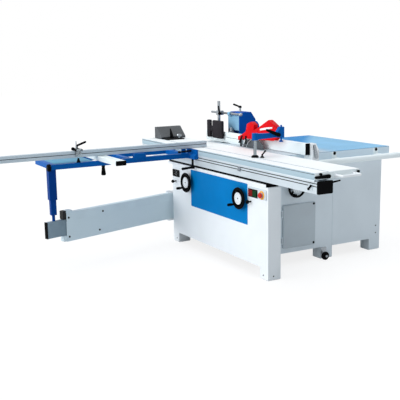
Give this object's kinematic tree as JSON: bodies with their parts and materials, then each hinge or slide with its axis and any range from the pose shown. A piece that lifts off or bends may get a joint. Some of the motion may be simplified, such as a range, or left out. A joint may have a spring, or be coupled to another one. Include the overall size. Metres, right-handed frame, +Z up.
{
  "type": "combination woodworking machine",
  "caption": "Combination woodworking machine with sliding table, tilting saw, spindle moulder, crosscut fence on an outrigger with swing arm, rip fence and handwheels",
  "frame": {"origin": "centre of the sole of the front right foot", "axes": "+X along the sliding table towards the near end, +Y from the front to the rear, +Z up"},
  "size_m": [2.685, 3.13, 1.21],
  "materials": {
    "white_paint": "satin powder coat",
    "azure_paint": "satin powder coat",
    "blue_paint": "satin powder coat",
    "aluminium": "anodised extrusion",
    "cast_iron": "ground table top",
    "dark_iron": "painted casting",
    "steel": "bright steel",
    "chrome": "chromed",
    "black_plastic": "moulded",
    "grey_paint": "satin",
    "belt_rubber": "matt",
    "red_paint": "gloss",
    "red_plastic": "gloss",
    "green_plastic": "gloss",
    "clear_plastic": "clear"
  },
  "bodies": {
    "cabinet": {"front_frame": "white_paint", "front_panel": "azure_paint", "mounting_rail": "white_paint", "body_shell": "white_paint", "end_cover": "white_paint", "foot_plates": "steel", "slide_beam": "aluminium", "beam_end_caps": "black_plastic", "main_table": "cast_iron", "extension_table": "cast_iron", "table_insert": "aluminium", "rip_rail": "steel", "caster_bracket": "steel", "switch_plate": "grey_paint", "gauge_plate": "grey_paint", "arm_bracket": "blue_paint", "moulder_base": "azure_paint", "moulder_hood": "blue_paint", "moulder_boards": "aluminium"},
    "end_door": {"end_door": "white_paint"},
    "caster_wheel": {"caster_wheel": "black_plastic"},
    "start_button": {"start_button": "green_plastic"},
    "stop_button": {"stop_button": "red_plastic"},
    "emergency_stop": {"emergency_stop": "red_plastic"},
    "lock_knob_left": {"lock_knob_left": "black_plastic"},
    "lock_knob_right": {"lock_knob_right": "black_plastic"},
    "rise_wheel": {"rise_wheel": "black_plastic"},
    "spindle_wheel": {"spindle_wheel": "black_plastic"},
    "tilt_wheel": {"tilt_wheel": "black_plastic"},
    "saw_trunnion": {"saw_trunnion": "dark_iron"},
    "saw_carriage": {"saw_carriage": "dark_iron", "saw_motor": "dark_iron", "saw_belt": "belt_rubber", "riving_knife": "steel"},
    "saw_arbor": {"saw_arbor": "steel", "saw_blade": "steel"},
    "saw_guard": {"saw_guard": "red_paint"},
    "spindle_quill": {"spindle_quill": "dark_iron"},
    "spindle_shaft": {"spindle_shaft": "steel"},
    "pressure_bar": {"pressure_bar": "steel"},
    "pressure_shoe": {"pressure_shoe": "black_plastic"},
    "sliding_table": {"sliding_table": "aluminium", "push_handle": "aluminium", "clamp_column": "chrome", "edge_shoe": "grey_paint", "outrigger_frame": "blue_paint", "post": "blue_paint"},
    "table_lock_lever": {"table_lock_lever": "black_plastic"},
    "clamp_arm": {"clamp_arm": "blue_paint"},
    "clamp_lever": {"clamp_lever": "black_plastic"},
    "support_bar": {"support_bar": "aluminium"},
    "bar_knob": {"bar_knob": "black_plastic"},
    "crosscut_fence": {"crosscut_fence": "aluminium"},
    "flip_stop": {"flip_stop": "black_plastic"},
    "stop_flap": {"stop_flap": "clear_plastic"},
    "swing_arm": {"swing_arm": "blue_paint"},
    "arm_slider": {"arm_slider": "blue_paint"},
    "rip_carriage": {"rip_carriage": "black_plastic"},
    "rip_fence": {"rip_fence": "aluminium"},
    "rip_lever": {"rip_lever": "black_plastic"}
  },
  "joints": [
    {"name": "door_swing", "type": "hinge", "parent": "cabinet", "child": "end_door", "pos_m": [-0.218, 0.256, 0.3], "axis": [0, 0, -1], "range_deg": [0, 100]},
    {"name": "caster_roll", "type": "hinge", "parent": "cabinet", "child": "caster_wheel", "pos_m": [-0.182, 0.653, 0.034], "axis": [1, 0, 0], "continuous": true},
    {"name": "start_press", "type": "slide", "parent": "cabinet", "child": "start_button", "axis": [0, 1, 0], "range_m": [0, 0.004], "stiffness_N_per_m": 600},
    {"name": "stop_press", "type": "slide", "parent": "cabinet", "child": "stop_button", "axis": [0, 1, 0], "range_m": [0, 0.004], "stiffness_N_per_m": 600},
    {"name": "emergency_press", "type": "slide", "parent": "cabinet", "child": "emergency_stop", "axis": [0, 1, 0], "range_m": [0, 0.006], "stiffness_N_per_m": 800},
    {"name": "left_lock_turn", "type": "hinge", "parent": "cabinet", "child": "lock_knob_left", "pos_m": [-1.362, -0.07, 0.541], "axis": [0, -1, 0], "range_deg": [-180, 180]},
    {"name": "right_lock_turn", "type": "hinge", "parent": "cabinet", "child": "lock_knob_right", "pos_m": [-0.172, -0.07, 0.551], "axis": [0, -1, 0], "range_deg": [-180, 180]},
    {"name": "saw_tilt", "type": "hinge", "parent": "cabinet", "child": "saw_trunnion", "pos_m": [-0.74, 0.36, 0.855], "axis": [-1, 0, 0], "range_deg": [-45, 0]},
    {"name": "saw_rise", "type": "slide", "parent": "saw_trunnion", "child": "saw_carriage", "axis": [0, 0, 1], "range_m": [-0.09, 0]},
    {"name": "saw_spin", "type": "hinge", "parent": "saw_carriage", "child": "saw_arbor", "pos_m": [-0.74, 0.2, 0.7775], "axis": [0, 1, 0], "continuous": true},
    {"name": "guard_lift", "type": "hinge", "parent": "saw_trunnion", "child": "saw_guard", "pos_m": [-0.958, 0.36, 0.922], "axis": [0, -1, 0], "range_deg": [0, 40]},
    {"name": "tilt_wheel_turn", "type": "hinge", "parent": "cabinet", "child": "tilt_wheel", "pos_m": [-0.21, 0.38, 0.612], "axis": [1, 0, 0], "range_deg": [-365, 5]},
    {"name": "rise_wheel_turn", "type": "hinge", "parent": "cabinet", "child": "rise_wheel", "pos_m": [-0.288, -0.07, 0.56], "axis": [0, -1, 0], "range_deg": [-655, 5]},
    {"name": "spindle_rise", "type": "slide", "parent": "cabinet", "child": "spindle_quill", "axis": [0, 0, 1], "range_m": [-0.12, 0]},
    {"name": "spindle_spin", "type": "hinge", "parent": "spindle_quill", "child": "spindle_shaft", "pos_m": [-1.25, 0.445, 0.75], "axis": [0, 0, 1], "continuous": true},
    {"name": "spindle_wheel_turn", "type": "hinge", "parent": "cabinet", "child": "spindle_wheel", "pos_m": [-1.112, -0.07, 0.565], "axis": [0, -1, 0], "range_deg": [-725, 5]},
    {"name": "pressure_shift", "type": "slide", "parent": "cabinet", "child": "pressure_bar", "axis": [1, 0, 0], "range_m": [-0.1, 0.1]},
    {"name": "pressure_drop", "type": "slide", "parent": "pressure_bar", "child": "pressure_shoe", "axis": [0, 0, 1], "range_m": [-0.025, 0.08]},
    {"name": "table_slide", "type": "slide", "parent": "cabinet", "child": "sliding_table", "axis": [1, 0, 0], "range_m": [-0.08, 1]},
    {"name": "table_lock", "type": "hinge", "parent": "sliding_table", "child": "table_lock_lever", "pos_m": [0.575, 0.058, 0.826], "axis": [-1, 0, 0], "range_deg": [0, 60]},
    {"name": "clamp_height", "type": "slide", "parent": "sliding_table", "child": "clamp_arm", "axis": [0, 0, 1], "range_m": [-0.1, 0]},
    {"name": "clamp_cam", "type": "hinge", "parent": "clamp_arm", "child": "clamp_lever", "pos_m": [-0.268, 0.258, 1.012], "axis": [-1, 0, 0], "range_deg": [0, 60]},
    {"name": "support_shift", "type": "slide", "parent": "sliding_table", "child": "support_bar", "axis": [1, 0, 0], "range_m": [-0.15, 0.3]},
    {"name": "bar_knob_turn", "type": "hinge", "parent": "sliding_table", "child": "bar_knob", "pos_m": [-1.06, -0.845, 0.74], "axis": [0, 0, 1], "range_deg": [-180, 180]},
    {"name": "fence_swivel", "type": "hinge", "parent": "sliding_table", "child": "crosscut_fence", "pos_m": [-1.0975, -0.115, 0.88], "axis": [0, 0, 1], "range_deg": [-45, 45]},
    {"name": "stop_shift", "type": "slide", "parent": "crosscut_fence", "child": "flip_stop", "axis": [0, 1, 0], "range_m": [-0.55, 0.7]},
    {"name": "stop_flip", "type": "hinge", "parent": "flip_stop", "child": "stop_flap", "pos_m": [-1.056, -1.04, 0.915], "axis": [0, -1, 0], "range_deg": [0, 165]},
    {"name": "arm_swing", "type": "hinge", "parent": "cabinet", "child": "swing_arm", "pos_m": [-1.481, -0.068, 0.3], "axis": [0, 0, 1], "range_deg": [-4, 35]},
    {"name": "arm_extend", "type": "slide", "parent": "swing_arm", "child": "arm_slider", "axis": [0.2794, -0.9602, 0], "range_m": [-0.045, 0.535]},
    {"name": "rip_shift", "type": "slide", "parent": "cabinet", "child": "rip_carriage", "axis": [0, 1, 0], "range_m": [-0.008, 0.75]},
    {"name": "rip_reach", "type": "slide", "parent": "rip_carriage", "child": "rip_fence", "axis": [1, 0, 0], "range_m": [0, 0.35]},
    {"name": "rip_clamp", "type": "hinge", "parent": "rip_carriage", "child": "rip_lever", "pos_m": [-0.106, 0.4903, 0.846], "axis": [1, 0, 0], "range_deg": [-60, 0]}
  ],
  "couplings": [
    {"joint": "tilt_wheel_turn", "follows": "saw_tilt", "ratio": 8},
    {"joint": "rise_wheel_turn", "follows": "saw_rise", "rad_per_m": 126},
    {"joint": "spindle_wheel_turn", "follows": "spindle_rise", "rad_per_m": 105},
    {"joint": "arm_swing", "follows": "table_slide", "rad_per_m": 0.58},
    {"joint": "arm_extend", "follows": "table_slide", "ratio": 0.53}
  ]
}
